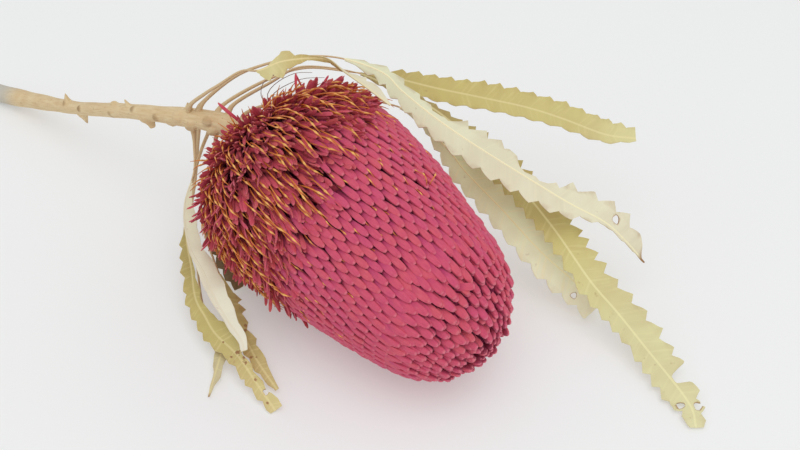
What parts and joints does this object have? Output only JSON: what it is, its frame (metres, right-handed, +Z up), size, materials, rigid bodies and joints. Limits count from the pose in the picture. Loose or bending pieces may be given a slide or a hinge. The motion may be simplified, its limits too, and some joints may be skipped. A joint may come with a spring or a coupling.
{
  "type": "dried banksia flower head",
  "caption": "Dried banksia flower head lying on its side on its cut stem, with tight spiral florets, wiry styles and long saw-toothed leaves.",
  "frame": {"origin": "middle of the small flat spot under the flower head, on the surface it lies on", "axes": "+Z up from the surface, +X towards the tips of the long right-hand leaves, the stem's cut end towards -X and +Y"},
  "size_m": [0.2665, 0.1905, 0.0789],
  "materials": {
    "flower_head": "matt dyed pink floret",
    "stem": "dry pale bark",
    "leaf_front_right": "dried leaf",
    "leaf_pale_long": "dried leaf",
    "leaf_top_short": "dried leaf",
    "leaf_back_right": "dried leaf",
    "leaf_behind_head": "dried leaf",
    "leaf_left_pale": "dried leaf",
    "leaf_left_green": "dried leaf",
    "leaf_left_inner": "dried leaf",
    "leaf_left_lowest": "dried leaf",
    "leaf_under_head": "dried leaf"
  },
  "bodies": {
    "root": {"flower_head": "flower_head", "stem": "stem", "leaf_front_right": "leaf_front_right", "leaf_pale_long": "leaf_pale_long", "leaf_top_short": "leaf_top_short", "leaf_back_right": "leaf_back_right", "leaf_behind_head": "leaf_behind_head", "leaf_left_pale": "leaf_left_pale", "leaf_left_green": "leaf_left_green", "leaf_left_inner": "leaf_left_inner", "leaf_left_lowest": "leaf_left_lowest", "leaf_under_head": "leaf_under_head"}
  },
  "joints": []
}
